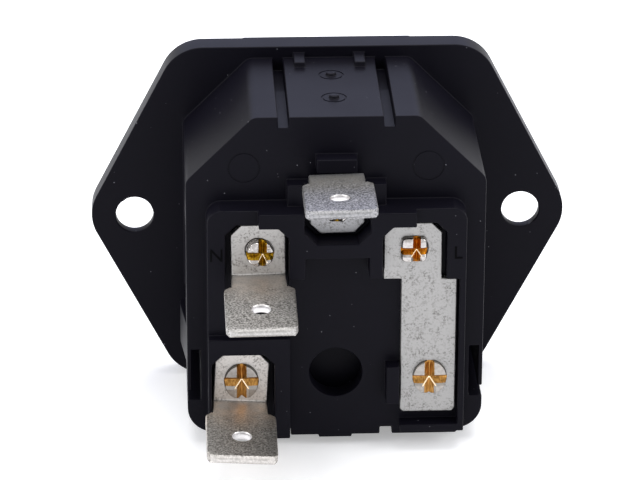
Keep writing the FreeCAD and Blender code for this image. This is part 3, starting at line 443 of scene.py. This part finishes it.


# --- pins and rivets ------------------------------------------------------------------------
# Solid brass, bright tin-plated, with the ends struck by a cross-shaped punch that spreads them over the
# plates.  The punch cuts through the tin, so the grooves show bare brown brass; the lower corners between
# them are painted pale gold as a highlight.

PLATING_GRAIN = 0.25 * MM
DRAG_SPACING, DRAG_STRETCH = 0.14 * MM, 0.25
PIN_RADIUS = 0.05 * MM
CUT_ABOVE_PLATE = 0.02 * MM
HEAD_SPLITS = 84
RIM_DROP = 0.5
WORN = 0.03
PAINTED_HIGHLIGHT_BAND = 0.055
BARE_DEPTH = 0.30
LOWEST_FACE, NOTCH_BED, HEAD_FOOT = 0.03, -0.05, -0.1
NOTCH_HALF = 0.42
NOTCH_SLOPE = 0.65
TIN, BRASS, RIDGE_PAINTED_HIGHLIGHT, RIM = range(4)


def bright_plate(name, mean, spot, rough):
    """Bright plating: a clear metal shine, slightly mottled, with its grain drawn coarse enough to show."""
    material, tree = new_material(name)
    place = add(tree, "TexCoord").outputs["Object"]
    fine = add(tree, "TexNoise", {"Vector": place, "Scale": 1 / PLATING_GRAIN, "Detail": 3.0})
    grey = add(tree, "Mix", {0: fine.outputs["Fac"], 6: linear(spot), 7: linear(mean)}, data_type="RGBA")
    relief = add(tree, "Bump", {"Height": fine.outputs["Fac"], "Strength": 0.25, "Distance": 0.02 * MM})
    tin = add(tree, "BsdfPrincipled", {"Base Color": grey.outputs[2], "Metallic": 1.0, "Roughness": rough,
                                       "Normal": relief.outputs[0]})
    add(tree, "OutputMaterial", {"Surface": tin.outputs[0]})
    return material


def struck_brass(name, dark, light):
    """Bare brass: brown and gold in upright streaks, where the punch dragged over it.

    The real drag lines are finer, and are drawn as wide as they need to show.
    """
    material, tree = new_material(name)
    place = add(tree, "TexCoord").outputs["Object"]
    drawn = add(tree, "Mapping", {"Vector": place, "Scale": (1.0, 1.0, DRAG_STRETCH)})
    drag = add(tree, "TexNoise", {"Vector": drawn.outputs[0], "Scale": 1 / DRAG_SPACING, "Detail": 3.0})
    step = add(tree, "MapRange", {"Value": drag.outputs["Fac"], "From Min": 0.35, "From Max": 0.65})
    gold = add(tree, "Mix", {0: step.outputs[0], 6: linear(dark), 7: linear(light)}, data_type="RGBA")
    relief = add(tree, "Bump", {"Height": drag.outputs["Fac"], "Strength": 0.3, "Distance": 0.01 * MM})
    struck = add(tree, "BsdfPrincipled", {
        "Base Color": gold.outputs[2], "Metallic": 1.0, "Roughness": 0.34, "Normal": relief.outputs[0]})
    add(tree, "OutputMaterial", {"Surface": struck.outputs[0]})
    return material


# The pins keep their bright plate; the punch leaves the rivets' plate greyer and less sharp.  The lower
# corner between two grooves is painted as a pale gold highlight line, and the rim as a thin line of painted
# shade.
shiny = bright_plate("bright tin plate on turned brass", "#D4D0CE", "#8F8A86", 0.24)
flattened = bright_plate("tin plate on a rivet, flattened by the punch", "#B4B0AC", "#857F7A", 0.38)
ridge_painted_highlight = plain_metal("brass corner, burnished by the punch", "#FFE9C6", 0.22)
# The head's rim wall is coloured dark: painted shade along the head's outline.
rim_painted_shade = plain_metal("rim of a struck head, painted dark as shade", "#3E3830", 0.5, metallic=0.6)


def struck_height(x, z, reach, angle, arms, dome, waves):
    """Height of a struck head above its plate in millimetres, and the finish that shows there.

    x and z run from the middle of the punch's cross; reach and angle say where in the head it is.
    """
    up_half, down_half, above, below, deep, run_out = arms
    rise, fall, rounded = dome
    half = up_half if z > 0 else down_half
    side = above if z > 0 else below
    face = rise - fall * reach ** 4
    if reach > 1 - rounded:
        face -= RIM_DROP * rise * ((reach - 1 + rounded) / rounded) ** 2
    face += waves * reach * (math.sin(5 * angle + 0.6) + 0.6 * math.sin(11 * angle + 9 * reach))
    if abs(x) < NOTCH_HALF and -z > run_out + NOTCH_SLOPE * abs(x):
        return NOTCH_BED, BRASS
    upright = deep * (1 - abs(x) / half)
    level = deep * (1 - abs(z) / side)
    blend = max(0.0, WORN - abs(upright - level)) / WORN
    cut = max(upright, level) - blend * blend * WORN / 2
    height = max(face - max(cut, 0), LOWEST_FACE)
    # The lower corners between the two grooves, which face the light, are painted pale gold as a highlight.
    if z < 0 and min(upright, level) > 0 and abs(upright - level) < PAINTED_HIGHLIGHT_BAND:
        return height, RIDGE_PAINTED_HIGHLIGHT
    return height, BRASS if cut > (BARE_DEPTH * deep if z < 0 else 0) else TIN


def struck_head(shape, middle, blow, cross, halves, squareness, arms, dome, waves):
    """Adds to a shape the upset end of a pin: a fine disc, pressed to the struck form and closed."""
    head = bmesh.new()
    bmesh.ops.create_grid(head, x_segments=HEAD_SPLITS, y_segments=HEAD_SPLITS, size=1.0)
    head.verts.index_update()
    finish = {}
    for vert in head.verts:
        u, v = vert.co.x, vert.co.y
        reach = max(abs(u), abs(v))
        spread = (abs(u) ** squareness + abs(v) ** squareness) ** (1 / squareness)
        if spread > 0:
            u, v = u * reach / spread, v * reach / spread
        angle = math.atan2(v, u)
        ragged = 1 + waves * reach * (0.5 * math.sin(4 * angle + 1.0) + 0.4 * math.sin(9 * angle))
        x, z = blow[0] + u * halves[0] * ragged, blow[1] + v * halves[1] * ragged
        height, kind = struck_height(x - cross[0], z - cross[1], reach, angle, arms, dome, waves)
        finish[vert.index] = kind
        vert.co = (x, -height, z)
    for face in head.faces:
        kinds = [finish[vert.index] for vert in face.verts]
        face.material_index = max(sorted(set(kinds)), key=kinds.count)
        face.smooth = True
    rim = [edge for edge in head.edges if edge.is_boundary]
    wall = bmesh.ops.extrude_edge_only(head, edges=rim)["geom"]
    for vert in [item for item in wall if isinstance(item, bmesh.types.BMVert)]:
        vert.co.y = -HEAD_FOOT
    # The rim wall takes the dark rim colour, as painted shade.
    for face in [item for item in wall if isinstance(item, bmesh.types.BMFace)]:
        face.material_index = RIM
    foot = [item for item in wall if isinstance(item, bmesh.types.BMEdge) and item.is_boundary]
    bmesh.ops.edgeloop_fill(head, edges=foot)
    bmesh.ops.recalc_face_normals(head, faces=head.faces)
    bmesh.ops.scale(head, verts=head.verts, vec=(MM, MM, MM))
    bmesh.ops.translate(head, verts=head.verts, vec=(middle[0], PLATE_FACE, middle[1]))
    mesh = bpy.data.meshes.new("head")
    head.to_mesh(mesh)
    head.free()
    shape.from_mesh(mesh)
    bpy.data.meshes.remove(mesh)


# The five heads, in millimetres.  Each: finish slot; how far the blow pushed the head, and the middle of
# its cross, off the pin's middle; half width and half height of the head; how square it is; the punch's
# arms, which are the upper and lower half width of the upright one, the reach of the level one above and
# below the middle, the depth, and where the lower arm runs out over the plate; the face's rise, its fall
# and its rounding to the rim; how uneven the blow was; and the bare brass's two colours.
PIN_DOME, RIVET_DOME = (0.58, 0.16, 0.12), (0.45, 0.06, 0.05)
PAST_RIM = 9.0
HEADS = {
    "neutral_pin": ("pin_metal", (0.18, -0.22), (0.38, -0.30), (1.22, 1.26), 2.6,
                    (0.40, 0.42, 0.34, 0.72, 0.52, PAST_RIM), PIN_DOME, 0.05, "#665010", "#AE8420"),
    "line_pin": ("pin_metal", (-0.12, -0.04), (0.10, -0.06), (1.17, 1.22), 6.0,
                 (0.36, 0.50, 0.32, 0.60, 0.50, PAST_RIM), PIN_DOME, 0.02, "#7C460C", "#B9741C"),
    "earth_pin": ("pin_metal", (0.0, 0.0), (0.0, 0.0), (1.28, 1.28), 2.4,
                  (0.42, 0.48, 0.36, 0.62, 0.50, PAST_RIM), PIN_DOME, 0.03, "#5A420E", "#A87E1C"),
    "left_contact_rivet": ("rivet_metal", (0.0, -0.33), (0.02, -0.10), (1.57, 1.74), 2.0,
                           (0.46, 0.64, 0.30, 0.88, 0.44, 1.66), RIVET_DOME, 0.0, "#80592A", "#BC8C4C"),
    "right_contact_rivet": ("rivet_metal", (-0.08, -0.20), (-0.13, -0.14), (1.56, 1.66), 2.0,
                            (0.46, 0.64, 0.28, 0.86, 0.44, 1.58), RIVET_DOME, 0.0, "#80592A", "#BC8C4C"),
}
for node, (slot, blow, cross, halves, squareness, arms, dome, waves, dark, light) in HEADS.items():
    low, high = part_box(node)
    shape = merged(node)
    everything = list(shape.verts) + list(shape.edges) + list(shape.faces)
    bmesh.ops.bisect_plane(shape, geom=everything, plane_co=(0, PLATE_FACE + CUT_ABOVE_PLATE, 0),
                           plane_no=(0, -1, 0), clear_outer=True)
    bmesh.ops.holes_fill(shape, edges=[edge for edge in shape.edges if edge.is_boundary], sides=0)
    round_edges(shape, PIN_RADIUS)
    middle = ((low.x + high.x) / 2, (low.z + high.z) / 2)
    struck_head(shape, middle, blow, cross, halves, squareness, arms, dome, waves)
    piece = stand_in(shape, node, "inlet")
    face = shiny if slot == "pin_metal" else flattened
    for material in (face, struck_brass("struck brass, " + node, dark, light), ridge_painted_highlight, rim_painted_shade):
        piece.data.materials.append(material)


# --- fuse contacts --------------------------------------------------------------------------
# Two spring clips, bent from thin bronze strip, tin-plated and riveted to the back wall of the drawer's
# cavity, where they grip the caps of the fuse.

CLIP_RADIUS = 0.05 * MM

# Thin tin over bronze: a bright plate with a warm cast.
spring_bronze = bright_plate("tin-plated spring bronze", "#C8BFAE", "#8E8474", 0.30)
for node in ("left_fuse_contact", "right_fuse_contact"):
    softened(node, CLIP_RADIUS, "inlet").data.materials.append(spring_bronze)


# --- fuses ----------------------------------------------------------------------------------
# A 5 x 20 mm glass fuse in the cradle and a spare in the drawer: thin glass tube, two pressed
# nickel-plated caps and a fine wire between them.

FUSE_RADIUS = 0.05 * MM

# Drawn soda-lime tube: clear, with sharp reflections.
glass, tree = new_material("soda-lime glass tube")
clear = add(tree, "BsdfPrincipled", {
    "Base Color": linear("#F6FBF8"), "Roughness": 0.03, "IOR": 1.52, "Transmission Weight": 1.0})
add(tree, "OutputMaterial", {"Surface": clear.outputs[0]})

# Pressed and nickel-plated: bright and slightly yellow.  The wire is silvered, with copper showing warm.
nickel = bright_plate("nickel-plated pressed cap", "#D8D2C4", "#B8B1A2", 0.18)
silvered = plain_metal("silvered copper wire", "#C9B9A4", 0.3)

for prefix in ("fuse", "spare_fuse"):
    for ending, material, slot in (("_glass_tube", glass, "fuse_glass"), ("_cap_left", nickel, "cap_metal"),
                                   ("_cap_right", nickel, "cap_metal")):
        softened(prefix + ending, FUSE_RADIUS, "drawer").data.materials.append(material)
    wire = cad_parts[prefix + "_wire"]
    wire.data.materials.clear()
    wire.data.materials.append(silvered)
